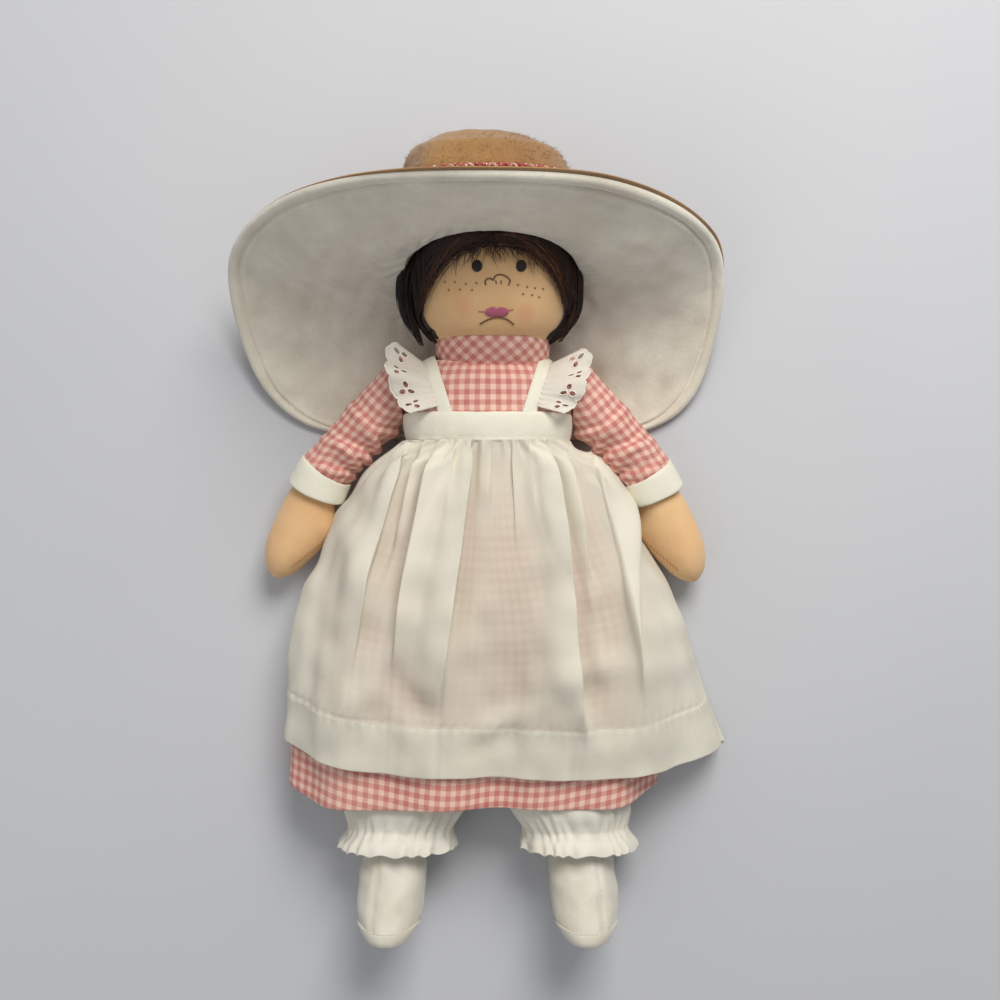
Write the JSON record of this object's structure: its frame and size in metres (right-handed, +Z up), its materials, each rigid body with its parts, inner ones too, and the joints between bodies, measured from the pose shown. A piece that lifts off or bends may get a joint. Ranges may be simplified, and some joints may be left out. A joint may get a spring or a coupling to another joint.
{
  "type": "rag doll",
  "caption": "Soft stuffed rag doll in a gingham dress, eyelet apron, bloomers and wide felt hat, lying on its back; limbs fold, the head nods and the hat lifts off.",
  "frame": {"origin": "on the flat back of the dress skirt, at the surface, straight under the middle of the hip seam", "axes": "+Z up off the surface, out of the doll's chest; +Y from the feet to the head; +X towards the doll's left hand"},
  "size_m": [0.2474, 0.3876, 0.137],
  "materials": {
    "skin_cloth": "stuffed peach cotton knit",
    "hair": "dark brown fibre with auburn strands",
    "gingham": "rose and white gingham cotton, 5 mm repeat",
    "apron_cotton": "sheer white cotton lawn",
    "eyelet_lace": "white cotton eyelet lace",
    "white_cotton": "white cotton",
    "elastic": "covered white elastic",
    "leg_satin": "stuffed white cotton sateen",
    "felt": "tan wool felt",
    "flannel": "off-white brushed flannel",
    "braid": "red and white braid"
  },
  "bodies": {
    "torso": {"torso": "skin_cloth", "dress_bodice": "gingham", "dress_skirt": "gingham", "apron_waistband": "apron_cotton", "apron_skirt": "apron_cotton", "left_strap": "apron_cotton", "right_strap": "apron_cotton", "left_ruffle": "eyelet_lace", "right_ruffle": "eyelet_lace", "bloomers_seat": "white_cotton", "bloomers_waist_elastic": "elastic"},
    "head": {"head": "skin_cloth", "hair_cap": "hair", "hair_fringe": "hair", "left_hair_lock": "hair", "right_hair_lock": "hair", "dress_collar": "gingham"},
    "hat": {"hat_crown": "felt", "hat_band": "braid", "hat_brim": "felt", "hat_brim_lining": "flannel"},
    "left_arm": {"left_arm": "skin_cloth", "left_sleeve": "gingham", "left_cuff": "apron_cotton"},
    "left_leg": {"left_leg": "leg_satin", "left_sole": "leg_satin", "left_bloomer_leg": "white_cotton", "left_leg_elastic": "elastic"},
    "right_arm": {"right_arm": "skin_cloth", "right_sleeve": "gingham", "right_cuff": "apron_cotton"},
    "right_leg": {"right_leg": "leg_satin", "right_sole": "leg_satin", "right_bloomer_leg": "white_cotton", "right_leg_elastic": "elastic"}
  },
  "joints": [
    {"name": "neck", "type": "hinge", "parent": "torso", "child": "head", "pos_m": [0.002, 0.127, 0.028], "axis": [1, 0, 0], "range_deg": [0, 20]},
    {"name": "hat_lift", "type": "slide", "parent": "head", "child": "hat", "axis": [0, 1, 0], "range_m": [0, 0.09]},
    {"name": "left_shoulder", "type": "hinge", "parent": "torso", "child": "left_arm", "pos_m": [0.04, 0.119, 0.03], "axis": [-1, 0, 0], "range_deg": [0, 90], "deforming": ["left_ruffle"]},
    {"name": "right_shoulder", "type": "hinge", "parent": "torso", "child": "right_arm", "pos_m": [-0.04, 0.119, 0.03], "axis": [-1, 0, 0], "range_deg": [0, 90], "deforming": ["right_ruffle"]},
    {"name": "left_hip", "type": "hinge", "parent": "torso", "child": "left_leg", "pos_m": [0.02, 0, 0.021], "axis": [-1, 0, 0], "range_deg": [0, 90], "deforming": ["dress_skirt", "apron_skirt", "bloomers_seat"]},
    {"name": "right_hip", "type": "hinge", "parent": "torso", "child": "right_leg", "pos_m": [-0.02, 0, 0.021], "axis": [-1, 0, 0], "range_deg": [0, 90], "deforming": ["dress_skirt", "apron_skirt", "bloomers_seat"]}
  ],
  "couplings": [
    {"joint": "right_hip", "follows": "left_hip", "ratio": 1}
  ]
}
